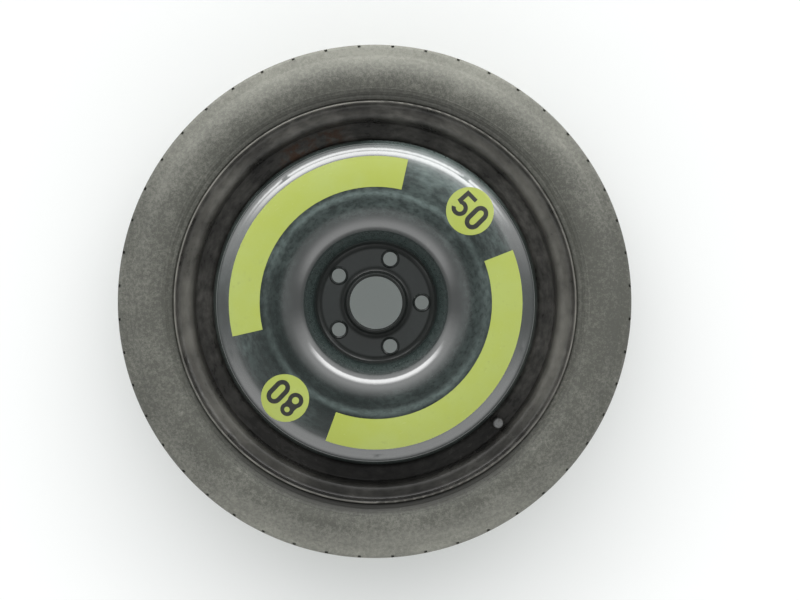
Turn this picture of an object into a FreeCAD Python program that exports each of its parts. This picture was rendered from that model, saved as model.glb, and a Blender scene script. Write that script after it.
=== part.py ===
import FreeCAD, Part
import math
import os

# Temporary-use spare wheel: a pressed steel disc in a narrow drop-centre rim, with its tyre,
# snap-in valve and labels. Lengths are in millimetres. The wheel lies on its rear sidewall with
# its axis on Z and its front face up. The origin is on the axis, in the hub mounting face.

# Rim: a symmetric rolled section, all radii and depths of its tyre side
bead_radius = 202.8
rim_width = 88.9
rim_gauge = 2.6
flange_height = 16.0
flange_curl = 9.0
flange_bend = 6.0
heel_bend = 7.0
seat_length = 14.5
seat_taper = 5.0
hump_length = 6.0
well_depth = 20.0
well_wall_tilt = 7.0
wheel_offset = 44.0

# Disc: one pressing of even gauge, from the bore collar out to the welded skirt
disc_gauge = 4.0
bore_radius = 28.55
collar_height = 18.0
collar_bend = 7.5
pad_margin = 13.5
pad_edge_bend = 7.0
recess_run = 28.5
crown_height = 29.5
crown_bend = 40.0
crown_fall = 2.5
dome_share = 0.59259
dome_fall = 14.0
dome_bend_share = 1.85185
crown_edge_bend = 16.0
skirt_draft = 7.2
skirt_overlap = 16.0
skirt_bend = 20.0

# Wheel bolts: holes with ball seats on bosses pressed up from the rear
bolt_count = 5
bolt_circle = 100.0
bolt_hole_radius = 7.6
seat_ball_radius = 13.0
seat_edge_radius = 9.0
boss_radius = 10.2
boss_height = 1.0

# Weld seams behind the disc
weld_count = 4
weld_span = 62.0
weld_leg = 4.0

# Tyre
section_height = 81.2
section_width = 115.0
crown_radius = 370.0
tread_half_width = 40.5
shoulder_radius = 6.0
groove_offset = 21.0
groove_width = 6.0
groove_depth = 4.5
widest_height = 40.2
sidewall_thickness = 7.3
tread_thickness = 12.5
bead_length = 13.5
bead_clearance = 0.2
pit_count = 48
pit_width = 3.2
pit_height = 2.6
pit_edge = 1.0
pit_floor = 1.0

# Valve: heights run along the valve from the middle of the rim sheet
valve_angle = 315.3
valve_depth = 11.8
valve_hole_radius = 5.65
valve_seat_gap = 0.35
valve_base_radius = 6.8
valve_base_height = 3.0
valve_shoulder_radius = 7.0
valve_neck_radius = 4.8
valve_rubber_height = 22.0
stem_radius = 3.85
stem_height = 33.0
core_bore_radius = 2.65
core_throat_radius = 2.0
air_bore_radius = 1.3
core_head_height = 5.2
pin_radius = 0.75
pin_travel = 1.2
spring_wire_radius = 0.22
spring_turns = 3
cap_radius = 5.6
cap_height = 12.2
cap_flutes = 16
fit = 0.05

# Labels: thin film on the crown
film = 0.2
film_gap = 0.05
label_margin = 15.8
label_width = 33.3
upper_label_angles = (77.4, 193.1)
lower_label_angles = (249.8, 381.2)
round_label_radius = 25.8
round_label_50_angle = 44.4
round_label_80_angle = 226.2

ORIGIN = FreeCAD.Vector(0, 0, 0)
AXIS = FreeCAD.Vector(0, 0, 1)


def section_point(point):
    return FreeCAD.Vector(point[0], 0, point[1])


def unit(vector):
    return FreeCAD.Vector(vector).normalize()


def turned(shape, degrees):
    copy = shape.copy()
    copy.rotate(ORIGIN, AXIS, degrees)
    return copy


def around(shape, count, start=0.0):
    return [turned(shape, start + index * 360.0 / count) for index in range(count)]


def line(start, end):
    return Part.makeLine(section_point(start), section_point(end))


def arc(start, through, end):
    return Part.Arc(section_point(start), section_point(through), section_point(end)).toShape()


def spin(edges, degrees=360.0):
    """Revolve a closed radius-height outline about the wheel axis."""
    face = Part.Face(Part.Wire(Part.__sortEdges__(edges)))
    solid = face.revolve(ORIGIN, AXIS, degrees)
    if solid.Volume < 0:
        solid.reverse()
    return solid


def polygon(points):
    loop = [section_point(point) for point in points]
    return Part.makePolygon(loop + loop[:1]).Edges


def lathe(points, degrees=360.0):
    return spin(polygon(points), degrees)


def bent_line(points, bends, offset):
    """Edges of a line with rounded corners, moved sideways to its left by the offset."""
    corners = [section_point(point) for point in points]
    ways = [unit(b - a) for a, b in zip(corners, corners[1:])]
    sides = [FreeCAD.Vector(-way.z, 0, way.x) for way in ways]
    edges = []
    here = corners[0] + sides[0] * offset
    first = here
    for index, bend in enumerate(bends):
        corner = corners[index + 1]
        turn = ways[index].getAngle(ways[index + 1])
        reach = bend * math.tan(turn / 2)
        inward = unit(ways[index + 1] - ways[index])
        middle = corner + inward * (bend / math.cos(turn / 2) - bend)
        start = corner - ways[index] * reach + sides[index] * offset
        through = middle + unit(sides[index] + sides[index + 1]) * offset
        end = corner + ways[index + 1] * reach + sides[index + 1] * offset
        edges.append(Part.makeLine(here, start))
        edges.append(Part.Arc(start, through, end).toShape())
        here = end
    last = corners[-1] + sides[-1] * offset
    edges.append(Part.makeLine(here, last))
    return edges, first, last


def sheet(points, bends, gauge, round_start, round_end):
    """Outline of a bent sheet of even gauge along its middle line."""
    left, left_first, left_last = bent_line(points, bends, gauge / 2)
    right, right_first, right_last = bent_line(points, bends, -gauge / 2)
    ends = [
        (left_first, right_first, points[0], points[1], round_start),
        (left_last, right_last, points[-1], points[-2], round_end),
    ]
    caps = []
    for a, b, tip, inner, rounded in ends:
        if rounded:
            outward = unit(section_point(tip) - section_point(inner))
            nose = section_point(tip) + outward * (gauge / 2)
            caps.append(Part.Arc(a, nose, b).toShape())
        else:
            caps.append(Part.makeLine(a, b))
    return left + right + caps


# Rim

mid_plane = -wheel_offset
flange_face = rim_width / 2
rim_seat_radius = bead_radius - rim_gauge / 2
seat_drop = math.tan(math.radians(seat_taper))
seat_end = flange_face - seat_length
hump_height = seat_end - hump_length
well_radius = bead_radius - well_depth - rim_gauge / 2
wall_lean = math.tan(math.radians(well_wall_tilt))
lip_radius = bead_radius + flange_height - rim_gauge / 2
flange_middle = flange_face + rim_gauge / 2
well_inner_radius = well_radius - rim_gauge / 2
well_corner_height = hump_height - (rim_seat_radius - well_radius) * wall_lean

rim_half = [
    (lip_radius, flange_face + flange_curl),
    (lip_radius, flange_middle),
    (rim_seat_radius, flange_middle),
    (rim_seat_radius - seat_length * seat_drop, seat_end),
    (rim_seat_radius, hump_height),
    (well_radius, well_corner_height),
]
rim_bends = [flange_bend, heel_bend, 6.0, 3.5, 4.5]
rim_line = rim_half + [(radius, -height) for radius, height in reversed(rim_half)]
rim = spin(sheet(rim_line, rim_bends + rim_bends[::-1], rim_gauge, True, True))

# The valve hole is square to the front wall of the well
valve_circle_radius = bead_radius - valve_depth
valve_reach = (rim_seat_radius - valve_circle_radius) * wall_lean
valve_seat_height = hump_height - valve_reach


def in_valve_seat(shape):
    """Move a shape from the Z axis to the valve hole, with the wheel at its mid-plane."""
    copy = shape.copy()
    copy.rotate(ORIGIN, FreeCAD.Vector(0, 1, 0), -well_wall_tilt)
    copy.translate(FreeCAD.Vector(valve_circle_radius, 0, valve_seat_height))
    return turned(copy, valve_angle)


valve_hole = Part.makeCylinder(valve_hole_radius, 4 * rim_gauge, FreeCAD.Vector(0, 0, -2 * rim_gauge))
rim = rim.cut(in_valve_seat(valve_hole))
rim.translate(AXIS * mid_plane)

# Disc

bolt_radius = bolt_circle / 2
pad_edge_radius = bolt_radius + pad_margin
crown_inner_radius = pad_edge_radius + recess_run
crown_outer_radius = well_inner_radius - skirt_draft
pad_middle = disc_gauge / 2
crown_middle = disc_gauge / 2 + crown_height
crown_run = crown_outer_radius - crown_inner_radius
dome_radius = crown_inner_radius + dome_share * crown_run
dome_height = crown_middle - dome_share * crown_run * math.tan(math.radians(crown_fall))
dome_bend = dome_bend_share * crown_run
skirt_radius = well_inner_radius - disc_gauge / 2
skirt_top = mid_plane + skirt_overlap / 2
skirt_end = mid_plane - skirt_overlap / 2
dome_drop = (crown_outer_radius - dome_radius) * math.tan(math.radians(dome_fall))
disc_line = [
    (bore_radius + disc_gauge / 2, collar_height - disc_gauge / 2),
    (bore_radius + disc_gauge / 2, pad_middle),
    (pad_edge_radius, pad_middle),
    (crown_inner_radius, crown_middle),
    (dome_radius, dome_height),
    (crown_outer_radius, dome_height - dome_drop),
    (skirt_radius, skirt_top),
    (skirt_radius, skirt_end),
]
disc_bends = [collar_bend, pad_edge_bend, crown_bend, dome_bend, crown_edge_bend, skirt_bend]
disc = spin(sheet(disc_line, disc_bends, disc_gauge, True, False))

boss_top = disc_gauge + boss_height
boss_foot = FreeCAD.Vector(bolt_radius, 0, disc_gauge)
boss = Part.makeCone(boss_radius, boss_radius - boss_height, boss_height, boss_foot)
dimple_radius = boss_radius - disc_gauge / 2
dimple_foot = FreeCAD.Vector(bolt_radius, 0, 0)
dimple = Part.makeCone(dimple_radius, dimple_radius - boss_height, boss_height, dimple_foot)
ball_height = boss_top + math.sqrt(seat_ball_radius**2 - seat_edge_radius**2)
ball = Part.makeSphere(seat_ball_radius, FreeCAD.Vector(bolt_radius, 0, ball_height))
bolt_hole = Part.makeCylinder(bolt_hole_radius, boss_top, dimple_foot)
disc = disc.fuse(around(boss, bolt_count))
disc = disc.cut(around(dimple, bolt_count) + around(ball, bolt_count) + around(bolt_hole, bolt_count))
disc = disc.removeSplitter()

# Weld seams lie in the corner between the disc's rear edge and the rim well
weld_inner = well_inner_radius - weld_leg
weld_low = skirt_end - weld_leg
weld_bulge = (well_inner_radius - 0.58 * weld_leg, skirt_end - 0.58 * weld_leg)
weld_outline = [
    line((weld_inner, skirt_end), (well_inner_radius, skirt_end)),
    line((well_inner_radius, skirt_end), (well_inner_radius, weld_low)),
    arc((well_inner_radius, weld_low), weld_bulge, (weld_inner, skirt_end)),
]
weld = spin(weld_outline, weld_span)
disc_welds = Part.makeCompound(around(weld, weld_count, 14.0))

# Tyre: one half of the section, mirrored about the mid-plane

tyre_radius = bead_radius + section_height
widest_radius = bead_radius + widest_height


def tread_at(height):
    return tyre_radius - crown_radius + math.sqrt(crown_radius**2 - height**2)


def tread_arc(start, end):
    middle = (start + end) / 2
    return arc((tread_at(start), start), (tread_at(middle), middle), (tread_at(end), end))


def bulge(foot, crest):
    """Arc from a foot point to a crest, where it runs square to the wheel's axis."""
    rise = crest[1] - foot[1]
    run = crest[0] - foot[0]
    radius = (rise**2 + run**2) / (2 * rise)
    half = math.asin(run / radius) / 2
    through = (crest[0] - radius * math.sin(half), crest[1] - radius + radius * math.cos(half))
    return arc(foot, through, crest)


half_groove = groove_width / 2
groove_near = groove_offset - half_groove
groove_far = groove_offset + half_groove
groove_floor = tread_at(groove_offset) - groove_depth
centre_floor = tyre_radius - groove_depth
shoulder = (tread_at(tread_half_width), tread_half_width)
shoulder_foot = (shoulder[0] - 0.83 * shoulder_radius, shoulder[1] + 0.92 * shoulder_radius)
shoulder_mid = (shoulder[0] - 0.28 * shoulder_radius, shoulder[1] + 0.62 * shoulder_radius)
widest = (widest_radius, section_width / 2)
ledge_radius = widest_radius + 0.6 * (shoulder_foot[0] - widest_radius) + 4.0
ledge = (ledge_radius, shoulder_foot[1] + 3.3)
ledge_top = (ledge_radius + 1.2, ledge[1] - 1.0)
curl_centre = (lip_radius - flange_bend, flange_middle + flange_bend)
curl_gap = flange_bend + rim_gauge / 2 + bead_clearance


def on_curl(degrees):
    lean = math.radians(degrees)
    return (curl_centre[0] + curl_gap * math.sin(lean), curl_centre[1] - curl_gap * math.cos(lean))


bead_top = on_curl(55)
rib_foot = (bead_top[0] + 2.8, bead_top[1] + 0.3)
rib_inner = (bead_top[0] + 4.8, bead_top[1] + 2.4)
rib_outer = (bead_top[0] + 6.8, bead_top[1] + 3.5)
rib_end = (bead_top[0] + 7.8, bead_top[1] + 3.2)
bead_start = (curl_centre[0], flange_middle)
toe_height = flange_face - bead_length
bead_end = (rim_seat_radius - bead_length * seat_drop, toe_height)
bead, bead_first, bead_last = bent_line(
    [bead_start, (rim_seat_radius, flange_middle), bead_end],
    [heel_bend],
    rim_gauge / 2 + bead_clearance,
)
toe_top = (bead_radius + 6.0, toe_height + 1.5)
liner_side = (widest_radius - 3.0, section_width / 2 - sidewall_thickness)
liner_crown = tyre_radius - tread_thickness
liner_edge = (liner_crown - 3.0, tread_half_width - 2.5)
liner_mid = (liner_crown - 0.75, liner_edge[1] / 2)

tyre_half = [
    line((centre_floor, 0), (centre_floor, half_groove)),
    line((centre_floor, half_groove), (tread_at(half_groove), half_groove)),
    tread_arc(half_groove, groove_near),
    line((tread_at(groove_near), groove_near), (groove_floor, groove_near)),
    line((groove_floor, groove_near), (groove_floor, groove_far)),
    line((groove_floor, groove_far), (tread_at(groove_far), groove_far)),
    tread_arc(groove_far, tread_half_width),
    arc(shoulder, shoulder_mid, shoulder_foot),
    line(shoulder_foot, ledge_top),
    line(ledge_top, ledge),
    bulge(ledge, widest),
    bulge(rib_end, widest),
    line(rib_end, rib_outer),
    line(rib_outer, rib_inner),
    line(rib_inner, rib_foot),
    line(rib_foot, bead_top),
    arc(bead_top, on_curl(28), on_curl(0)),
    *bead,
    Part.makeLine(bead_last, section_point(toe_top)),
    arc(toe_top, liner_side, liner_edge),
    arc(liner_edge, liner_mid, (liner_crown, 0)),
]
tyre_other_half = [edge.mirror(ORIGIN, AXIS) for edge in tyre_half]
tyre = spin(tyre_half + tyre_other_half)

pit = Part.makeBox(
    pit_height,
    pit_width,
    2 * shoulder_radius,
    FreeCAD.Vector(shoulder[0] - pit_edge - pit_height, -pit_width / 2, shoulder[1] - pit_floor),
)
front_pits = around(pit, pit_count, 0.5 * 360.0 / pit_count)
rear_pits = [shape.mirror(ORIGIN, AXIS) for shape in around(pit, pit_count)]
tyre = tyre.cut(front_pits + rear_pits)
tyre.translate(AXIS * mid_plane)

# Valve


def valve_piece(shape):
    placed = in_valve_seat(shape)
    placed.translate(AXIS * mid_plane)
    return placed


sheet_top = rim_gauge / 2 + valve_seat_gap
stem_foot = 0.0
foot_radius = stem_radius + 0.5
valve_body = lathe(
    [
        (air_bore_radius, -sheet_top - valve_base_height),
        (valve_base_radius - 0.8, -sheet_top - valve_base_height),
        (valve_base_radius, -sheet_top - valve_base_height + 0.8),
        (valve_base_radius, -sheet_top),
        (valve_hole_radius - fit, -sheet_top),
        (valve_hole_radius - fit, sheet_top),
        (valve_shoulder_radius, sheet_top),
        (valve_shoulder_radius, sheet_top + 2.0),
        (valve_shoulder_radius - 1.4, sheet_top + 7.0),
        (valve_neck_radius, valve_rubber_height - 1.0),
        (valve_neck_radius - 0.5, valve_rubber_height),
        (stem_radius, valve_rubber_height),
        (stem_radius, stem_foot + 2.0),
        (foot_radius, stem_foot + 1.5),
        (foot_radius, stem_foot),
        (air_bore_radius, stem_foot),
    ]
)

throat_top = stem_height - core_head_height - 1.4
throat_depth = core_bore_radius - core_throat_radius + 1.1
throat_low = throat_top - throat_depth
core_low = throat_low - 2.6
cup_height = 1.35
pin_foot = core_low - fit - cup_height - 0.6
throat_floor = pin_foot - pin_travel - 1.5
valve_stem = lathe(
    [
        (air_bore_radius, stem_foot),
        (foot_radius, stem_foot),
        (foot_radius, stem_foot + 1.5),
        (stem_radius, stem_foot + 2.0),
        (stem_radius, stem_height - 0.5),
        (stem_radius - 0.5, stem_height),
        (core_bore_radius, stem_height),
        (core_bore_radius, throat_top),
        (core_throat_radius, throat_low),
        (core_throat_radius, throat_floor),
        (air_bore_radius, throat_floor - 1.0),
    ]
)

head_top = stem_height - 0.8
head_low = head_top - core_head_height + 0.2
barrel_neck_radius = core_throat_radius - 0.45
pin_bore_radius = pin_radius + 0.15
spring_bore_radius = core_bore_radius - 0.85
spring_floor = head_low + 0.6
core_barrel = lathe(
    [
        (pin_bore_radius, core_low),
        (barrel_neck_radius, core_low),
        (barrel_neck_radius, head_low),
        (core_bore_radius - fit, head_low),
        (core_bore_radius - fit, head_top),
        (spring_bore_radius, head_top),
        (spring_bore_radius, spring_floor),
        (pin_bore_radius, spring_floor),
    ]
)
key_slot = Part.makeBox(1.1, 6.0, 1.2, FreeCAD.Vector(-0.55, -3.0, head_top - 1.2))
core_barrel = core_barrel.cut(key_slot)

core_seal = lathe(
    [
        (barrel_neck_radius + fit, throat_low + fit),
        (core_throat_radius - fit, throat_low + fit),
        (core_bore_radius - 1.5 * fit, throat_top),
        (core_bore_radius - 1.5 * fit, head_low - fit),
        (barrel_neck_radius + fit, head_low - fit),
    ]
)

collar_radius = spring_bore_radius - 0.25
pin_top = stem_height - 0.3
collar_top = head_top - 0.7
collar_low = collar_top - 0.6
core_pin = lathe(
    [
        (0, pin_foot),
        (1.3, pin_foot),
        (1.3, pin_foot + 0.6),
        (pin_radius, pin_foot + 0.6),
        (pin_radius, collar_low),
        (collar_radius, collar_low),
        (collar_radius, collar_top),
        (pin_radius + 0.1, collar_top),
        (pin_radius + 0.1, pin_top - 0.2),
        (pin_radius - 0.1, pin_top),
        (0, pin_top),
    ]
)
core_cup = lathe(
    [
        (pin_radius, pin_foot + 0.6),
        (barrel_neck_radius, pin_foot + 0.6),
        (barrel_neck_radius, core_low - fit),
        (pin_radius, core_low - fit),
    ]
)

spring_radius = (pin_radius + collar_radius + 0.1) / 2
spring_low = spring_floor + spring_wire_radius + fit
spring_high = collar_low - spring_wire_radius - fit
spring_pitch = (spring_high - spring_low) / spring_turns
helix = Part.makeHelix(spring_pitch, spring_high - spring_low, spring_radius)
helix.translate(AXIS * spring_low)
wire_start = FreeCAD.Vector(spring_radius, 0, spring_low)
wire_section = Part.Wire(Part.makeCircle(spring_wire_radius, wire_start, FreeCAD.Vector(0, 1, 0)))
core_spring = Part.Wire(helix).makePipeShell([wire_section], True, True)

cap_low = valve_rubber_height + 0.6
cap_top = cap_low + cap_height
cap_bore_radius = stem_radius + 2 * fit
cap_ceiling = stem_height + 0.6
valve_cap = lathe(
    [
        (0, cap_ceiling),
        (cap_bore_radius, cap_ceiling),
        (cap_bore_radius, cap_low),
        (cap_radius, cap_low),
        (cap_radius, cap_low + 2.0),
        (cap_radius - 0.5, cap_top - 1.2),
        (cap_radius - 1.5, cap_top),
        (0, cap_top),
    ]
)
flute = Part.makeCylinder(0.5, cap_height, FreeCAD.Vector(cap_radius + 0.1, 0, cap_low + 2.0))
valve_cap = valve_cap.cut(around(flute, cap_flutes))
cap_seal = lathe(
    [
        (0, stem_height + fit),
        (stem_radius, stem_height + fit),
        (stem_radius, cap_ceiling - fit),
        (0, cap_ceiling - fit),
    ]
)

# Labels: cut from a film that follows the front of the crown

label_outer_radius = crown_outer_radius - label_margin
label_inner_radius = label_outer_radius - label_width
film_low = disc_gauge / 2 + film_gap
film_edges = []
film_ends = []
for offset in (film_low, film_low + film):
    edges, first, last = bent_line(disc_line[2:7], disc_bends[2:5], offset)
    film_edges += edges
    film_ends.append((first, last))
film_edges += [Part.makeLine(a, b) for a, b in zip(*film_ends)]
crown_film = spin(film_edges)
film_top = 2 * crown_height


def film_band(start, end):
    cutter = [
        (label_inner_radius, 0),
        (label_outer_radius, 0),
        (label_outer_radius, film_top),
        (label_inner_radius, film_top),
    ]
    return crown_film.common(turned(lathe(cutter, end - start), start))


def round_film(angle):
    foot = FreeCAD.Vector((label_inner_radius + label_outer_radius) / 2, 0, 0)
    punch = Part.makeCylinder(round_label_radius, film_top, foot)
    return crown_film.common(turned(punch, angle))


upper_label = film_band(*upper_label_angles)
lower_label = film_band(*lower_label_angles)
label_50 = round_film(round_label_50_angle)
label_80 = round_film(round_label_80_angle)

pieces = {
    "tyre": tyre,
    "rim": rim,
    "wheel_disc": disc,
    "disc_welds": disc_welds,
    "valve_body": valve_piece(valve_body),
    "valve_stem": valve_piece(valve_stem),
    "core_barrel": valve_piece(core_barrel),
    "core_seal": valve_piece(core_seal),
    "core_pin": valve_piece(core_pin),
    "core_cup": valve_piece(core_cup),
    "core_spring": valve_piece(core_spring),
    "valve_cap": valve_piece(valve_cap),
    "cap_seal": valve_piece(cap_seal),
    "upper_label": upper_label,
    "lower_label": lower_label,
    "label_50": label_50,
    "label_80": label_80,
}
os.makedirs("parts", exist_ok=True)
for name, shape in pieces.items():
    shape.exportStep(f"parts/{name}.step")
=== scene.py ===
import bmesh
import bpy
import math
import numpy as np
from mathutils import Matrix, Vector


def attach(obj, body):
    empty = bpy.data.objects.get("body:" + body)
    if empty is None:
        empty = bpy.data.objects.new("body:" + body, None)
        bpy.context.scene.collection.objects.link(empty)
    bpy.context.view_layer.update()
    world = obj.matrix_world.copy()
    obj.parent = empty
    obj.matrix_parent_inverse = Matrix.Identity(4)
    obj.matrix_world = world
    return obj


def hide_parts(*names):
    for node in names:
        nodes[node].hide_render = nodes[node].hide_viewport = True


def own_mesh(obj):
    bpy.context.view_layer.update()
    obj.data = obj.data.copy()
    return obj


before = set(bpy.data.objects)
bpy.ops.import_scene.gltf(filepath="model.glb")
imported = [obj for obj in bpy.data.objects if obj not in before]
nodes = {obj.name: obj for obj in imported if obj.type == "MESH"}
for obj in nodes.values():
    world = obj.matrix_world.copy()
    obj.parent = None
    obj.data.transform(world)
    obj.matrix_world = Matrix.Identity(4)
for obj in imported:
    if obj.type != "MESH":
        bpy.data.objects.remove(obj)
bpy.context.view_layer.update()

# The wheel's axis is Z and its front face is up. Materials work in metres; the tyre's and the numbers'
# shapes are worked out in millimetres.
MM = 0.001
MID_PLANE = -44 * MM


# Node trees

class Tree:
    """A node tree, built up by short calls that return output sockets."""

    def __init__(self, tree):
        self.tree = tree

    def put(self, socket, value):
        if isinstance(value, bpy.types.NodeSocket):
            self.tree.links.new(value, socket)
        else:
            socket.default_value = value

    def math(self, operation, a, b=0.0, clamp=False):
        node = self.tree.nodes.new("ShaderNodeMath")
        node.operation = operation
        node.use_clamp = clamp
        self.put(node.inputs[0], a)
        self.put(node.inputs[1], b)
        return node.outputs[0]

    def vector(self, operation, a, b=(0.0, 0.0, 0.0)):
        node = self.tree.nodes.new("ShaderNodeVectorMath")
        node.operation = operation
        self.put(node.inputs[0], a)
        self.put(node.inputs[1], b)
        return node.outputs["Value"] if operation in ("LENGTH", "DOT_PRODUCT") else node.outputs[0]

    def combine(self, x, y, z):
        node = self.tree.nodes.new("ShaderNodeCombineXYZ")
        for socket, value in zip(node.inputs, (x, y, z)):
            self.put(socket, value)
        return node.outputs[0]

    def ramp(self, value, low, high, start=0.0, end=1.0):
        """A smooth step from start to end as the value goes from low to high."""
        node = self.tree.nodes.new("ShaderNodeMapRange")
        node.interpolation_type = "SMOOTHSTEP"
        self.put(node.inputs["Value"], value)
        sockets = ("From Min", "From Max", "To Min", "To Max")
        for name, number in zip(sockets, (low, high, start, end)):
            node.inputs[name].default_value = number
        return node.outputs["Result"]

    def band(self, value, low, high, soft):
        """One between low and high, fading to nought over the soft distance on both sides."""
        rise = self.ramp(value, low - soft, low + soft)
        fall = self.ramp(value, high - soft, high + soft, 1.0, 0.0)
        return self.math("MULTIPLY", rise, fall)

    def mix(self, factor, a, b):
        node = self.tree.nodes.new("ShaderNodeMix")
        node.data_type = "RGBA"
        self.put(node.inputs["Factor"], factor)
        self.put(node.inputs[6], a)
        self.put(node.inputs[7], b)
        return node.outputs[2]


class Shader(Tree):
    """A procedural material for a piece that lies in the wheel's frame."""

    def __init__(self, name):
        self.material = bpy.data.materials.new(name)
        self.material.use_nodes = True
        super().__init__(self.material.node_tree)
        self.surface = self.tree.nodes["Principled BSDF"]
        coordinates = self.tree.nodes.new("ShaderNodeTexCoord")
        self.place = coordinates.outputs["Object"]

    def noise(self, scale, detail=4.0, roughness=0.55, vector=None):
        node = self.tree.nodes.new("ShaderNodeTexNoise")
        self.put(node.inputs["Vector"], vector or self.place)
        node.inputs["Scale"].default_value = scale
        node.inputs["Detail"].default_value = detail
        node.inputs["Roughness"].default_value = roughness
        return node.outputs["Fac"]

    def polar(self):
        """Radius from the wheel's axis, height, and the direction out from the axis."""
        split = self.tree.nodes.new("ShaderNodeSeparateXYZ")
        self.tree.links.new(self.place, split.inputs[0])
        flat = self.combine(split.outputs[0], split.outputs[1], 0.0)
        return self.vector("LENGTH", flat), split.outputs[2], self.vector("NORMALIZE", flat)

    def to_spoke(self, count, reach):
        """Distance from the nearest of some points spread evenly on a circle about the wheel's axis."""
        split = self.tree.nodes.new("ShaderNodeSeparateXYZ")
        self.tree.links.new(self.place, split.inputs[0])
        east, north = split.outputs[0], split.outputs[1]
        step = 2 * math.pi / count
        turn = self.math("PINGPONG", self.math("ARCTAN2", north, east), step / 2)
        squares = self.math("ADD", self.math("POWER", east, 2.0), self.math("POWER", north, 2.0))
        radius = self.math("SQRT", squares)
        along = self.math("SUBTRACT", self.math("MULTIPLY", radius, self.math("COSINE", turn)), reach)
        across = self.math("MULTIPLY", radius, self.math("SINE", turn))
        return self.vector("LENGTH", self.combine(along, across, 0.0))

    def streaks(self, radius, direction, turns, rings, detail=3.0):
        """Noise drawn out along circles about the wheel's axis."""
        drawn = self.vector("MULTIPLY", direction, (turns, turns, 0.0))
        height = self.math("MULTIPLY", radius, rings)
        lifted = self.vector("ADD", drawn, self.combine(0.0, 0.0, height))
        return self.noise(1.0, detail, 0.6, lifted)

    def bump(self, height, strength, distance, under=None):
        node = self.tree.nodes.new("ShaderNodeBump")
        node.inputs["Strength"].default_value = strength
        node.inputs["Distance"].default_value = distance
        self.put(node.inputs["Height"], height)
        if under is not None:
            self.put(node.inputs["Normal"], under)
        return node.outputs[0]

    def finish(self, colour, roughness, normal=None, **constants):
        self.put(self.surface.inputs["Base Color"], colour)
        self.put(self.surface.inputs["Roughness"], roughness)
        if normal is not None:
            self.put(self.surface.inputs["Normal"], normal)
        for name, value in constants.items():
            self.surface.inputs[name.replace("_", " ")].default_value = value
        return self.material


def tyre_rubber():
    s = Shader("tyre_rubber")
    radius, _, direction = s.polar()
    clouds = s.noise(9.0, 6.0, 0.62)
    smears = s.streaks(radius, direction, 7.0, 90.0)
    mottle = s.noise(260.0, 3.0, 0.7)
    speck = s.noise(1100.0, 2.0, 0.6)
    ends = s.vector("DOT_PRODUCT", direction, (0.0, 1.0, 0.0))
    # Painted light: the outer sidewall is painted lighter at the top and bottom, most at the top, where the
    # light falls on it.
    painted_end_light = s.math("ADD", s.math("MULTIPLY", ends, ends), s.math("MULTIPLY", ends, 0.16))
    painted_end_light = s.math("MULTIPLY", painted_end_light, s.ramp(radius, 0.238, 0.27, 0.1, 0.75))
    dust = s.ramp(clouds, 0.34, 0.7, -0.06, 0.2)
    dust = s.math("ADD", dust, s.ramp(smears, 0.42, 0.72, 0.0, 0.1))
    # From here the dust mask carries this painted light on the sidewall's ends as well as the dust.
    dust = s.math("ADD", dust, painted_end_light)
    dust = s.math("ADD", dust, s.ramp(mottle, 0.36, 0.66, -0.13, 0.15))
    dust = s.math("ADD", dust, s.ramp(speck, 0.4, 0.7, -0.1, 0.14), clamp=True)
    # The pale colour shows dust, and the painted light on the top and bottom of the sidewall.
    colour = s.mix(dust, (0.082, 0.084, 0.071, 1), (0.31, 0.313, 0.272, 1))
    by_rim = s.ramp(radius, 0.2235, 0.236, 1.0, 0.0)
    lower, upper = s.ramp(ends, -1.0, -0.45, 1.0, 0.1), s.ramp(ends, 0.55, 1.0, 0.0, 0.5)
    turned_down = s.math("ADD", lower, upper)
    shade = s.math("MULTIPLY", by_rim, turned_down)
    colour = s.mix(shade, colour, (0.034, 0.034, 0.03, 1))
    marks = s.ramp(s.noise(46.0, 6.0, 0.75), 0.6, 0.72)
    marks = s.math("MULTIPLY", marks, s.ramp(clouds, 0.48, 0.6))
    colour = s.mix(s.math("MULTIPLY", marks, 0.3), colour, (0.38, 0.378, 0.33, 1))
    grain = s.bump(s.noise(1400.0, 3.0, 0.6), 0.3, 0.0004)
    pores = s.bump(mottle, 0.16, 0.0006, grain)
    roughness = s.ramp(dust, 0.0, 1.0, 0.6, 0.86)
    return s.finish(colour, roughness, pores)


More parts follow.
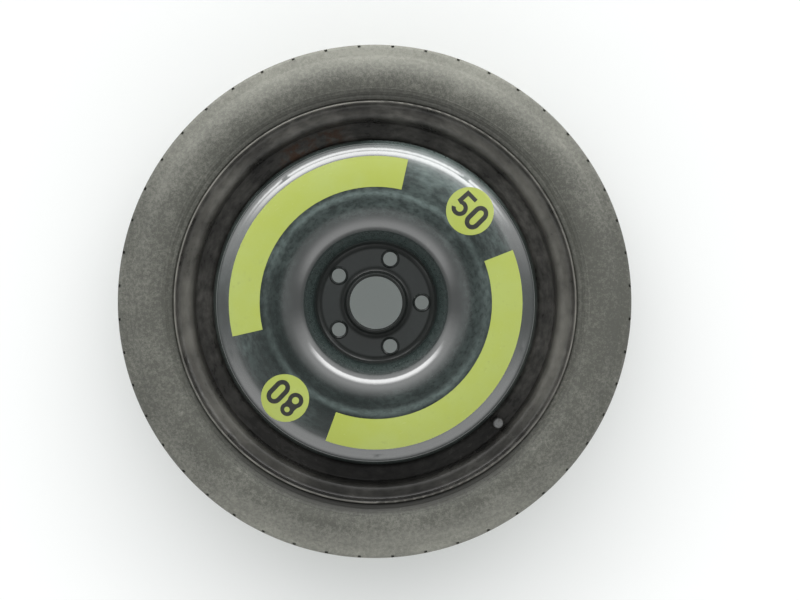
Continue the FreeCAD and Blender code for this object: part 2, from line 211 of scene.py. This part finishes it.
def disc_paint():
    s = Shader("disc_paint")
    collar_foot, pad_corner, bowl_wall = (0.0375, 0.0415), (0.0585, 0.0665), (0.068, 0.0775)
    flat_crown, ridge_ring = (0.101, 0.1515), (0.1148, 0.1205)
    bolt_count, bolt_circle = 5, 0.05
    radius, _, direction = s.polar()
    clouds = s.noise(14.0, 6.0, 0.62)
    wiped = s.streaks(radius, direction, 16.0, 260.0)
    speck = s.noise(1100.0, 2.0, 0.5)
    dust = s.ramp(clouds, 0.36, 0.7, 0.25, 1.0)
    dust = s.math("MULTIPLY", dust, s.ramp(wiped, 0.25, 0.75, 0.3, 1.0))
    dust = s.math("ADD", dust, s.ramp(speck, 0.68, 0.78, 0.0, 0.45), clamp=True)
    upward = s.vector("DOT_PRODUCT", direction, (0.0, 1.0, 0.0))
    # Painted sheen: pale teal rings on the crown, lighter towards the top where the light falls, stand in
    # for its reflections; the dust noise breaks them up.
    pale_amount = s.ramp(radius, 0.086, 0.1, 0.05, 0.48)
    pale_amount = s.math("ADD", pale_amount, s.ramp(radius, 0.11, 0.148, 0.0, 0.42))
    pale_amount = s.math("MULTIPLY", pale_amount, s.ramp(radius, 0.149, 0.162, 1.0, 0.3))
    crown_dust_and_painted_light = s.math("MULTIPLY", pale_amount, s.ramp(upward, -0.6, 0.8, 0.55, 1.0))
    flat = s.band(radius, *flat_crown, 0.006)
    # Painted reflection: a pale band on the bowl wall stands in for its reflections.
    painted_bowl_sheen = s.band(radius, *bowl_wall, 0.003)
    painted_bowl_sheen = s.math("MULTIPLY", painted_bowl_sheen, s.ramp(wiped, 0.2, 0.8, 0.16, 0.24))
    # Painted highlight: a pale ring at the ridge ring by the labels' inner edge, brighter towards the top
    # and bottom.
    painted_ridge_highlight = s.band(radius, *ridge_ring, 0.0032)
    painted_ridge_highlight = s.math("MULTIPLY", painted_ridge_highlight, s.ramp(wiped, 0.2, 0.8, 0.34, 0.56))
    painted_ridge_highlight = s.math("MULTIPLY", painted_ridge_highlight, s.ramp(s.math("ABSOLUTE", upward), 0.2, 0.9, 0.35, 1.0))
    north_east = s.vector("DOT_PRODUCT", direction, (0.42, 0.907, 0.0))
    smear = s.math("MULTIPLY", s.ramp(north_east, 0.86, 0.99), s.ramp(radius, 0.125, 0.165))
    smear = s.math("MULTIPLY", smear, s.ramp(clouds, 0.35, 0.65, 0.3, 0.62))
    dust_and_painted_sheen = s.math("ADD", s.math("MULTIPLY", dust, crown_dust_and_painted_light), painted_bowl_sheen)
    dust_and_painted_sheen = s.math("ADD", dust_and_painted_sheen, s.math("ADD", painted_ridge_highlight, smear), clamp=True)
    # The teal mix shows dust and smears, and the painted sheen, reflection and highlight above.
    colour = s.mix(dust_and_painted_sheen, (0.006, 0.0105, 0.0096, 1), (0.15, 0.195, 0.185, 1))
    scuffs = s.ramp(s.noise(60.0, 5.0, 0.75), 0.63, 0.72)
    scuffs = s.math("MULTIPLY", scuffs, s.ramp(clouds, 0.45, 0.6))
    colour = s.mix(s.math("MULTIPLY", scuffs, 0.16), colour, (0.2, 0.2, 0.185, 1))
    # Painted shade: the pad's corner, the foot of the collar and the bolt seats are painted dark where
    # shade falls in these hollows, and made rougher with less coat.
    corner = s.band(radius, *pad_corner, 0.0012)
    collar = s.ramp(radius, *collar_foot, 1.0, 0.0)
    seats = s.ramp(s.to_spoke(bolt_count, bolt_circle), 0.0086, 0.0114, 0.74, 0.0)
    painted_recess_shade = s.math("MAXIMUM", s.math("MAXIMUM", corner, collar), seats)
    painted_recess_shade = s.math("MULTIPLY", painted_recess_shade, s.ramp(clouds, 0.3, 0.6, 0.75, 0.95))
    colour = s.mix(s.math("MULTIPLY", painted_recess_shade, 0.5), colour, (0.018, 0.017, 0.016, 1))
    roughness = s.ramp(dust, 0.0, 1.0, 0.2, 0.38)
    roughness = s.math("ADD", roughness, s.ramp(wiped, 0.3, 0.7, 0.0, 0.08))
    roughness = s.math("ADD", roughness, s.math("MULTIPLY", painted_recess_shade, 0.3), clamp=True)
    peel = s.bump(s.noise(210.0, 2.0, 0.5), 0.035, 0.0006)
    fall = s.ramp(radius, 0.154, 0.1705, 0.0028, 0.0)
    fall = s.math("ADD", fall, s.ramp(radius, 0.163, 0.175, 0.0, 0.001))
    round_edge = s.bump(fall, 1.0, 1.0, peel)
    s.put(s.surface.inputs["Coat Normal"], round_edge)
    dulled = s.math("MULTIPLY", flat, s.ramp(wiped, 0.2, 0.8, 0.58, 0.72))
    dull = s.math("MAXIMUM", painted_recess_shade, dulled)
    s.put(s.surface.inputs["Coat Weight"], s.math("SUBTRACT", 1.0, dull))
    coat = {"Coat_Roughness": 0.06, "Coat_IOR": 2.15}
    return s.finish(colour, roughness, round_edge, Specular_IOR_Level=0.12, **coat)


def rim_paint():
    s = Shader("rim_paint")
    radius, height, direction = s.polar()
    clouds = s.noise(14.0, 6.0, 0.62)
    wiped = s.streaks(radius, direction, 16.0, 200.0)
    sides = s.math("ABSOLUTE", s.vector("DOT_PRODUCT", direction, (0.97, 0.24, 0.0)))
    dust = s.ramp(clouds, 0.34, 0.7, 0.3, 1.0)
    dust = s.math("MULTIPLY", dust, s.ramp(wiped, 0.25, 0.75, 0.4, 1.0))
    # The pale mix thins towards the bottom, so the rim is darker there.
    upward = s.vector("DOT_PRODUCT", direction, (0.0, 1.0, 0.0))
    dust = s.math("MULTIPLY", dust, s.ramp(upward, -1.0, -0.3, 0.3, 1.0))
    dusty = s.math("MULTIPLY", dust, 0.66)
    colour = s.mix(dusty, (0.008, 0.008, 0.0078, 1), (0.21, 0.205, 0.185, 1))
    flange = s.math("MULTIPLY", s.band(radius, 0.198, 0.2135, 0.003), s.ramp(height, -0.02, 0.0))
    pale_amount = s.ramp(clouds, 0.3, 0.7, 0.25, 0.75)
    pale_amount = s.math("MULTIPLY", pale_amount, s.ramp(sides, 0.4, 0.97, 0.12, 1.0))
    colour = s.mix(s.math("MULTIPLY", flange, pale_amount), colour, (0.15, 0.148, 0.13, 1))
    # The top of the lip is painted light grey: partly worn paint, partly a painted highlight along the
    # lip's edge.
    edge = s.math("MULTIPLY", s.ramp(height, 0.0086, 0.0102), s.ramp(radius, 0.216, 0.218))
    rubbed = s.streaks(radius, direction, 9.0, 400.0, 5.0)
    worn = s.math("MULTIPLY", edge, s.ramp(rubbed, 0.32, 0.6, 0.35, 1.0))
    colour = s.mix(s.math("MULTIPLY", worn, 0.8), colour, (0.24, 0.235, 0.21, 1))
    rust = math.radians(112)
    toward = s.vector("DOT_PRODUCT", direction, (math.cos(rust), math.sin(rust), 0.0))
    patch = s.math("MULTIPLY", s.ramp(toward, 0.965, 0.992), s.band(radius, 0.1805, 0.197, 0.003))
    patch = s.math("MULTIPLY", patch, s.ramp(s.noise(70.0, 5.0, 0.65), 0.4, 0.6))
    colour = s.mix(s.math("MULTIPLY", patch, 0.85), colour, (0.075, 0.036, 0.018, 1))
    roughness = s.ramp(dust, 0.0, 1.0, 0.24, 0.5)
    roughness = s.math("ADD", roughness, s.math("MULTIPLY", patch, 0.3), clamp=True)
    peel = s.bump(s.noise(210.0, 2.0, 0.5), 0.05, 0.0006)
    coat = {"Coat_Weight": 0.25, "Coat_Roughness": 0.15, "Coat_IOR": 1.5}
    return s.finish(colour, roughness, peel, Specular_IOR_Level=0.25, **coat)


def label_film():
    s = Shader("label_film")
    radius, _, direction = s.polar()
    clouds = s.noise(16.0, 5.0, 0.6)
    faded = s.ramp(clouds, 0.35, 0.68)
    colour = s.mix(faded, (0.395, 0.462, 0.084, 1), (0.405, 0.482, 0.122, 1))
    soil = s.ramp(s.noise(110.0, 6.0, 0.72), 0.57, 0.72)
    soil = s.math("MULTIPLY", soil, s.ramp(clouds, 0.42, 0.62))
    colour = s.mix(s.math("MULTIPLY", soil, 0.35), colour, (0.25, 0.27, 0.09, 1))
    scratch = s.streaks(radius, direction, 24.0, 900.0, 2.0)
    colour = s.mix(s.ramp(scratch, 0.68, 0.76, 0.0, 0.25), colour, (0.66, 0.7, 0.38, 1))
    roughness = s.ramp(clouds, 0.3, 0.7, 0.38, 0.52)
    ripple = s.bump(s.noise(420.0, 2.0, 0.5), 0.05, 0.0004)
    return s.finish(colour, roughness, ripple)


def label_ink():
    s = Shader("label_ink")
    worn = s.noise(700.0, 4.0, 0.7)
    colour = s.mix(s.ramp(worn, 0.5, 0.72), (0.02, 0.021, 0.019, 1), (0.055, 0.058, 0.04, 1))
    return s.finish(colour, s.ramp(worn, 0.3, 0.7, 0.38, 0.55))


def valve_rubber():
    s = Shader("valve_rubber")
    bloom = s.noise(260.0, 5.0, 0.65)
    colour = s.mix(s.ramp(bloom, 0.4, 0.7), (0.017, 0.017, 0.016, 1), (0.06, 0.058, 0.05, 1))
    grain = s.bump(s.noise(2600.0, 2.0, 0.5), 0.15, 0.0002)
    return s.finish(colour, s.ramp(bloom, 0.3, 0.7, 0.55, 0.75), grain)


def cap_plastic():
    s = Shader("cap_plastic")
    soil = s.noise(520.0, 5.0, 0.65)
    colour = s.mix(s.ramp(soil, 0.4, 0.7), (0.14, 0.145, 0.145, 1), (0.075, 0.074, 0.068, 1))
    grain = s.bump(s.noise(3000.0, 2.0, 0.5), 0.12, 0.0002)
    return s.finish(colour, s.ramp(soil, 0.3, 0.7, 0.4, 0.6), grain)


def brass():
    s = Shader("valve_brass")
    tarnish = s.noise(480.0, 5.0, 0.65)
    colour = s.mix(s.ramp(tarnish, 0.38, 0.7), (0.64, 0.43, 0.16, 1), (0.36, 0.22, 0.08, 1))
    turning = s.bump(s.noise(1800.0, 3.0, 0.6), 0.1, 0.0001)
    return s.finish(colour, s.ramp(tarnish, 0.3, 0.7, 0.22, 0.42), turning, Metallic=1.0)


def spring_steel():
    s = Shader("spring_steel")
    drawn = s.noise(900.0, 4.0, 0.6)
    colour = s.mix(s.ramp(drawn, 0.4, 0.65), (0.5, 0.5, 0.49, 1), (0.34, 0.335, 0.32, 1))
    return s.finish(colour, s.ramp(drawn, 0.3, 0.7, 0.25, 0.4), Metallic=1.0)


def seal_rubber():
    s = Shader("seal_rubber")
    bloom = s.noise(900.0, 4.0, 0.6)
    colour = s.mix(s.ramp(bloom, 0.4, 0.7), (0.03, 0.03, 0.03, 1), (0.07, 0.066, 0.06, 1))
    return s.finish(colour, s.ramp(bloom, 0.3, 0.7, 0.6, 0.8))


# Tyre: the section of the solid, in finer steps, turned about the axis. Lengths are in millimetres,
# radius first, then height from the tyre's middle plane.

TYRE_RADIUS = 284.0
TREAD_CROWN = 370.0
TREAD_HALF = 40.5
SHOULDER = 6.0
GROOVE_DEPTH = 4.5
MIDDLE_GROOVE = 3.0
SIDE_GROOVE = (18.0, 24.0)
BEAD_RADIUS = 203.0
CURL_RADIUS = 7.5
FITTING_LINES = (228.6, 231.8)
PITS = 48
PIT_HALF = 1.6
PIT_RADIUS = 280.0
PIT_WALL = 0.06
PIT_TOP, PIT_LOW = 1.0, 3.6
PIT_LIP = 0.05
PIT_FLOOR = TREAD_HALF - 1.0


def tread_at(height):
    return TYRE_RADIUS - TREAD_CROWN + math.sqrt(TREAD_CROWN**2 - height**2)


def straight(a, b, step=2.0):
    count = max(1, math.ceil(math.dist(a, b) / step))
    along, up = b[0] - a[0], b[1] - a[1]
    return [(a[0] + along * i / count, a[1] + up * i / count) for i in range(count + 1)]


def curved(a, through, b, step=1.5):
    """Points on the circle from a to b by way of a third point."""
    (x1, y1), (x2, y2), (x3, y3) = a, through, b
    d = 2 * (x1 * (y2 - y3) + x2 * (y3 - y1) + x3 * (y1 - y2))
    s1, s2, s3 = x1**2 + y1**2, x2**2 + y2**2, x3**2 + y3**2
    cx = (s1 * (y2 - y3) + s2 * (y3 - y1) + s3 * (y1 - y2)) / d
    cy = (s1 * (x3 - x2) + s2 * (x1 - x3) + s3 * (x2 - x1)) / d
    radius = math.hypot(x1 - cx, y1 - cy)
    first = math.atan2(y1 - cy, x1 - cx)
    middle = (math.atan2(y2 - cy, x2 - cx) - first) % (2 * math.pi)
    sweep = (math.atan2(y3 - cy, x3 - cx) - first) % (2 * math.pi)
    if middle > sweep:
        sweep -= 2 * math.pi
    count = max(2, math.ceil(radius * abs(sweep) / step))
    angles = [first + sweep * i / count for i in range(count + 1)]
    return [(cx + radius * math.cos(t), cy + radius * math.sin(t)) for t in angles]


def bulged(foot, crest, step=1.5):
    """Arc from a foot point to a crest, where it runs square to the axis."""
    rise, run = crest[1] - foot[1], crest[0] - foot[0]
    radius = (rise**2 + run**2) / (2 * rise)
    half = math.asin(run / radius) / 2
    through = (crest[0] - radius * math.sin(half), crest[1] - radius + radius * math.cos(half))
    return curved(foot, through, crest, step)


def tread_run(start, end, step=1.6):
    count = max(2, math.ceil(abs(end - start) / step))
    heights = [start + (end - start) * i / count for i in range(count + 1)]
    return [(tread_at(h), h) for h in heights]


def fitting_line(radius):
    """Height of the two fine lines that show if the bead sits evenly in the rim."""
    return sum(0.4 * math.exp(-(((radius - line) / 0.5) ** 2)) for line in FITTING_LINES)


def tyre_section():
    """Half of the tyre's section, from the middle groove round the front side to the liner."""
    shoulder = (tread_at(TREAD_HALF), TREAD_HALF)
    foot = (shoulder[0] - 0.83 * SHOULDER, shoulder[1] + 0.92 * SHOULDER)
    mid = (shoulder[0] - 0.28 * SHOULDER, shoulder[1] + 0.62 * SHOULDER)
    widest = (243.0, 57.5)
    ledge = (widest[0] + 0.6 * (foot[0] - widest[0]) + 4.0, foot[1] + 3.3)
    ledge_top = (ledge[0] + 1.2, ledge[1] - 1.0)
    curl = (211.5, 51.75)

    def on_curl(degrees):
        lean = math.radians(degrees)
        return (curl[0] + CURL_RADIUS * math.sin(lean), curl[1] - CURL_RADIUS * math.cos(lean))

    def on_shoulder(radius):
        return next(p for p in curved(shoulder, mid, foot, 0.01) if p[0] <= radius)

    top = on_curl(55)
    rib_steps = ((2.0, 1.6), (3.4, 2.8), (6.0, 3.5), (7.8, 3.2))
    rib = [(top[0] + x, top[1] + y) for x, y in rib_steps]
    low_wall = bulged(rib[3], widest, 0.35)
    fitting = [(r, h + fitting_line(r)) for r, h in low_wall if r < 235.0]
    pit_top, pit_low = shoulder[0] - PIT_TOP, shoulder[0] - PIT_LOW
    rims = [on_shoulder(r) for r in (pit_top, pit_top - PIT_LIP, pit_low + PIT_LIP, pit_low)]
    heel = [(BEAD_RADIUS + out, height) for out, height in ((5.5, 44.25), (2.0, 43.2), (0.25, 40.0))]
    toe = (BEAD_RADIUS - 13.5 * math.tan(math.radians(5)), 31.0)
    liner = [(208.8, 32.45), (240.0, 50.2), (268.5, 38.0), (270.75, 19.0), (271.5, 0.0)]
    middle_floor = TYRE_RADIUS - GROOVE_DEPTH
    near, far = SIDE_GROOVE
    side_floor = tread_at((near + far) / 2) - GROOVE_DEPTH
    runs = [
        straight((middle_floor, 0.0), (middle_floor, MIDDLE_GROOVE)),
        straight((middle_floor, MIDDLE_GROOVE), (tread_at(MIDDLE_GROOVE), MIDDLE_GROOVE)),
        tread_run(MIDDLE_GROOVE, near),
        straight((tread_at(near), near), (side_floor, near)),
        straight((side_floor, near), (side_floor, far)),
        straight((side_floor, far), (tread_at(far), far)),
        tread_run(far, TREAD_HALF),
        straight(shoulder, rims[0], 0.4),
        straight(rims[0], rims[1]),
        straight(rims[1], rims[2], 0.7),
        straight(rims[2], rims[3]),
        straight(rims[3], foot, 0.7),
        straight(foot, ledge_top, 1.5),
        straight(ledge_top, ledge, 0.8),
        bulged(ledge, widest),
        bulged(fitting[-1], widest)[::-1],
        fitting[::-1],
        straight(rib[3], rib[2], 0.6),
        straight(rib[2], rib[1], 0.6),
        straight(rib[1], rib[0], 0.6),
        straight(rib[0], top, 0.8),
        curved(top, on_curl(28), on_curl(0), 1.2),
        straight(on_curl(0), heel[0]),
        curved(*heel),
        straight(heel[2], toe, 3.0),
        straight(toe, liner[0], 3.0),
        curved(*liner[0:3], 4.0),
        curved(*liner[2:5], 6.0),
    ]
    points = []
    for run in runs:
        for point in run:
            if not points or math.dist(point, points[-1]) > 1e-4:
                points.append(point)
    return points


def tyre_columns():
    """Angles round the tyre, and which of them lie inside a front or a rear shoulder pit."""
    pitch = 2 * math.pi / PITS
    edge = PIT_HALF / PIT_RADIUS
    inside = edge - PIT_WALL / PIT_RADIUS
    gap = 0.5 * pitch - 2 * edge
    columns = []
    for index in range(PITS):
        for part, side in ((0.0, -1), (0.5, 1)):
            centre = (index + part) * pitch
            columns += [(centre - edge, 0), (centre - inside, side), (centre, side)]
            columns += [(centre + inside, side), (centre + edge, 0)]
            columns += [(centre + edge + gap * i / 5, 0) for i in range(1, 5)]
    return columns


def build_tyre():
    half = tyre_section()
    loop = half + [(r, -h) for r, h in half[-2:0:-1]]
    slack = 0.4 * PIT_LIP
    low = tread_at(TREAD_HALF) - PIT_LOW + slack
    high = tread_at(TREAD_HALF) - PIT_TOP - slack
    columns = tyre_columns()
    vertices = []
    for angle, side in columns:
        for r, h in loop:
            if h * side > PIT_FLOOR and low < r < high:
                h = PIT_FLOOR * side
            vertices.append((r * MM * math.cos(angle), r * MM * math.sin(angle), h * MM + MID_PLANE))
    rows, count = len(loop), len(columns)
    faces = []
    for c in range(count):
        here, there = c * rows, (c + 1) % count * rows
        for k in range(rows):
            after = (k + 1) % rows
            faces.append((here + k, there + k, there + after, here + after))
    mesh = bpy.data.meshes.new("tyre_moulding")
    mesh.from_pydata(vertices, [], faces)
    mesh.update()
    shape = bmesh.new()
    shape.from_mesh(mesh)
    bmesh.ops.recalc_face_normals(shape, faces=shape.faces)
    shape.to_mesh(mesh)
    shape.free()
    mesh.polygons.foreach_set("use_smooth", [True] * len(mesh.polygons))
    mesh.set_sharp_from_angle(angle=math.radians(32))
    piece = bpy.data.objects.new("tyre_moulding", mesh)
    bpy.context.scene.collection.objects.link(piece)
    return piece


# Numbers on the round labels, in millimetres

LABEL_RADII = (157.2, 123.9)
FILM_FACE = 2.285
DIGIT_SHIFT = 9.9
DIGIT_HALF_THICKNESS = 0.03


def oval(cx, cy, half_width, half_height, flat=0.0, count=48):
    """A rounded upright loop; flat is the length of its straight sides."""
    points = []
    for i in range(count):
        t = 2 * math.pi * (i + 0.5) / count
        y = (half_height - flat / 2) * math.sin(t) + math.copysign(flat / 2, math.sin(t))
        points.append((cx + half_width * math.cos(t), cy + y))
    return points


def sweep(cx, cy, radius, start, end, count=28):
    angles = [math.radians(start + (end - start) * i / count) for i in range(count + 1)]
    return [(cx + radius * math.cos(t), cy + radius * math.sin(t)) for t in angles]


def digit_loops(digit):
    if digit == "0":
        return [oval(0, 0, 8.5, 14.8, 11.0), oval(0, 0, 3.4, 9.8, 11.0)]
    if digit == "8":
        right = sweep(0.0, 7.2, 7.4, 90, -28, 20) + sweep(0.0, -6.2, 8.3, 35, -90, 20)
        left = [(-x, y) for x, y in reversed(right[1:-1])]
        return [right + left, oval(0, 7.4, 3.0, 2.9), oval(0, -6.0, 3.7, 3.9)]
    bowl = (-0.3, -5.7)
    inner = sweep(*bowl, 4.1, 128, -150)
    outer = sweep(*bowl, 8.8, -152, 104)
    stem = [(-3.3, 2.2), (-2.9, 10.0), (7.0, 10.0), (7.0, 14.6), (-7.3, 14.6), (-8.2, -1.2)]
    return [inner + outer + stem]


def crown_heights(offset):
    """Radii and heights of a line that lies the offset outside the middle of the disc's crown."""
    fall, dome = math.radians(2.5), math.radians(14.0)
    turn = (140.0, 31.5 - 48.0 * math.tan(fall))
    edge = (173.0, turn[1] - 33.0 * math.tan(dome))
    points = [(92.0, 31.5), turn, edge, (178.2, -36.0)]
    line = []
    bends = (150.0, 16.0)
    for (ax, ay), (bx, by), (cx, cy), bend in zip(points, points[1:], points[2:], bends):
        first = math.atan2(by - ay, bx - ax)
        last = math.atan2(cy - by, cx - bx)
        reach = bend * math.tan((first - last) / 2)
        x, y = bx - reach * math.cos(first), by - reach * math.sin(first)
        centre = (x + bend * math.sin(first), y - bend * math.cos(first))
        if not line:
            line.append((ax - offset * math.sin(first), ay + offset * math.cos(first)))
        radius = bend + offset
        for step in range(25):
            lean = first + (last - first) * step / 24
            point = (centre[0] - radius * math.sin(lean), centre[1] + radius * math.cos(lean))
            line.append(point)
    return zip(*line)


def build_number(text, degrees):
    curve = bpy.data.curves.new("number_" + text, "CURVE")
    curve.dimensions = "2D"
    curve.fill_mode = "BOTH"
    curve.extrude = DIGIT_HALF_THICKNESS
    for digit, shift in zip(text, (-DIGIT_SHIFT, DIGIT_SHIFT)):
        for loop in digit_loops(digit):
            spline = curve.splines.new("POLY")
            spline.points.add(len(loop) - 1)
            for point, (x, y) in zip(spline.points, loop):
                point.co = (x + shift, y, 0.0, 1.0)
            spline.use_cyclic_u = True
    maker = bpy.data.objects.new("number_maker", curve)
    bpy.context.scene.collection.objects.link(maker)
    evaluated = maker.evaluated_get(bpy.context.evaluated_depsgraph_get())
    mesh = bpy.data.meshes.new_from_object(evaluated)
    bpy.data.objects.remove(maker)
    bpy.data.curves.remove(curve)
    mesh.name = "number_" + text
    shape = bmesh.new()
    shape.from_mesh(mesh)
    # Cuts across the digits let them follow the crown's curve.
    for axis, reach in ((0, 18), (1, 15)):
        for cut in range(-reach, reach + 1, 3):
            point, normal = [0.0, 0.0, 0.0], [0.0, 0.0, 0.0]
            point[axis], normal[axis] = cut + 0.37, 1.0
            everything = shape.verts[:] + shape.edges[:] + shape.faces[:]
            bmesh.ops.bisect_plane(shape, geom=everything, plane_co=point, plane_no=normal)
    ring = sum(LABEL_RADII) / 2
    radii, heights = crown_heights(FILM_FACE)
    lean = math.radians(degrees)
    for vertex in shape.verts:
        x, y, z = vertex.co
        out, across = ring + y, x
        radius = math.hypot(out, across)
        px = out * math.cos(lean) + across * math.sin(lean)
        py = out * math.sin(lean) - across * math.cos(lean)
        pz = float(np.interp(radius, radii, heights)) + z
        vertex.co = (px * MM, py * MM, pz * MM)
    bmesh.ops.recalc_face_normals(shape, faces=shape.faces)
    shape.to_mesh(mesh)
    shape.free()
    piece = bpy.data.objects.new("number_" + text, mesh)
    bpy.context.scene.collection.objects.link(piece)
    return piece


def build_spring():
    """The valve spring, copied from the solid's spring and hung on the wheel; the real spring shortens as
    the pin is pressed.
    """
    mesh = nodes["core_spring"].data.copy()
    mesh.name = "valve_spring"
    piece = bpy.data.objects.new("valve_spring", mesh)
    bpy.context.scene.collection.objects.link(piece)
    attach(piece, "wheel")
    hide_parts("core_spring")
    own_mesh(piece)
    return piece


def dress(objects, material):
    for piece in objects:
        piece.data.materials.clear()
        piece.data.materials.append(material)


tyre = build_tyre()
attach(tyre, "wheel")
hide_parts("tyre")
dress([tyre], tyre_rubber())

spring = build_spring()

ink = label_ink()
for text, degrees in (("50", 44.4), ("80", 226.2)):
    number = build_number(text, degrees)
    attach(number, "wheel")
    dress([number], ink)

disc_finish = disc_paint()
dress([nodes["wheel_disc"], nodes["disc_welds"]], disc_finish)
dress([nodes["rim"]], rim_paint())
dress([nodes[name] for name in ("upper_label", "lower_label", "label_50", "label_80")], label_film())
dress([nodes["valve_body"]], valve_rubber())
dress([nodes["valve_cap"]], cap_plastic())
dress([nodes[name] for name in ("valve_stem", "core_barrel", "core_pin")], brass())
dress([spring], spring_steel())
dress([nodes[name] for name in ("core_seal", "core_cup", "cap_seal")], seal_rubber())

# Floor, light and camera

FLOOR_SIDE = 60.0
FLOOR_HEIGHT = -101.5 * MM
PALE_SHARE = 0.16

floor_mesh = bpy.data.meshes.new("floor")
sides = ((-1, -1), (1, -1), (1, 1), (-1, 1))
corners = [(x * FLOOR_SIDE, y * FLOOR_SIDE, FLOOR_HEIGHT) for x, y in sides]
floor_mesh.from_pydata(corners, [], [(0, 1, 2, 3)])
floor = bpy.data.objects.new("floor", floor_mesh)
bpy.context.scene.collection.objects.link(floor)
floor_look = bpy.data.materials.new("floor_white")
floor_look.use_nodes = True
ground = Tree(floor_look.node_tree)
lit = ground.tree.nodes["Principled BSDF"]
lit.inputs["Base Color"].default_value = (0.96, 0.96, 0.96, 1)
lit.inputs["Roughness"].default_value = 0.9
lit.inputs["Specular IOR Level"].default_value = 0.1
pale = ground.tree.nodes.new("ShaderNodeEmission")
pale.inputs["Color"].default_value = (0.9, 1.0, 0.96, 1)
rays = ground.tree.nodes.new("ShaderNodeLightPath")
seen = rays.outputs["Is Camera Ray"]
for kind in ("Is Glossy Ray", "Is Transmission Ray"):
    seen = ground.math("MAXIMUM", seen, rays.outputs[kind])
blend = ground.tree.nodes.new("ShaderNodeMixShader")
ground.put(blend.inputs[0], ground.math("MULTIPLY", seen, PALE_SHARE))
ground.put(blend.inputs[1], lit.outputs[0])
ground.put(blend.inputs[2], pale.outputs[0])
ground.put(ground.tree.nodes["Material Output"].inputs["Surface"], blend.outputs[0])
floor_mesh.materials.append(floor_look)

# A room lights the wheel: a bright window band to the north above a glowing wall, and a dimmer wall behind.
world = bpy.data.worlds.new("studio")
bpy.context.scene.world = world
world.use_nodes = True
sky = Tree(world.node_tree)
ways = sky.tree.nodes.new("ShaderNodeTexCoord")
parts = sky.tree.nodes.new("ShaderNodeSeparateXYZ")
sky.put(parts.inputs[0], ways.outputs["Generated"])
_, north, up = parts.outputs
rear = sky.math("MULTIPLY", sky.ramp(up, 0.12, 0.32), sky.ramp(up, 0.42, 0.9, 1.0, 0.0))
rear_wall = sky.math("MULTIPLY", rear, sky.ramp(north, -0.6, -0.1, 0.9, 0.0))
glow = sky.math("MULTIPLY", sky.ramp(up, 0.08, 0.24), sky.ramp(up, 0.68, 0.985, 1.0, 0.0))
front_wall = sky.math("MULTIPLY", glow, sky.ramp(north, 0.0, 0.5))
pane = sky.math("MULTIPLY", sky.ramp(up, 0.3, 0.37), sky.ramp(up, 0.46, 0.63, 1.0, 0.0))
window = sky.math("MULTIPLY", pane, sky.ramp(north, 0.4, 0.72, 0.0, 4.4))
slant = sky.math("SUBTRACT", 1.0, sky.math("MULTIPLY", up, up))
room = sky.ramp(slant, 0.0, 0.14, 0.25, 0.5)
room = sky.math("MULTIPLY", room, sky.ramp(up, 0.0, 0.3, 0.5, 1.0))
lights = sky.math("ADD", sky.math("ADD", room, window), sky.math("ADD", front_wall, rear_wall))

# The camera sees plain white in place of the room, and reflections see it low down, where the floor ends.
paths = sky.tree.nodes.new("ShaderNodeLightPath")
straight_on = sky.math("MAXIMUM", paths.outputs["Is Camera Ray"], paths.outputs["Is Transmission Ray"])
low_down = sky.ramp(up, 0.012, 0.03, 1.0, 0.0)
mirrored = sky.math("MULTIPLY", paths.outputs["Is Glossy Ray"], low_down)
white = sky.math("MAXIMUM", straight_on, mirrored)
level = sky.math("ADD", sky.math("MULTIPLY", lights, sky.math("SUBTRACT", 1.0, white)), white)
background = sky.tree.nodes["Background"]
background.inputs["Color"].default_value = (1.0, 1.0, 1.0, 1)
sky.put(background.inputs["Strength"], level)

view = bpy.data.cameras.new("camera")
view.sensor_width = 36
view.lens = 51.65
camera = bpy.data.objects.new("camera", view)
bpy.context.scene.collection.objects.link(camera)
camera.location = (-0.0042, 0.0262, 1.256)
camera.rotation_euler = (math.radians(-1.07), math.radians(-1.39), 0)
bpy.context.scene.camera = camera
bpy.context.scene.view_settings.view_transform = "Standard"
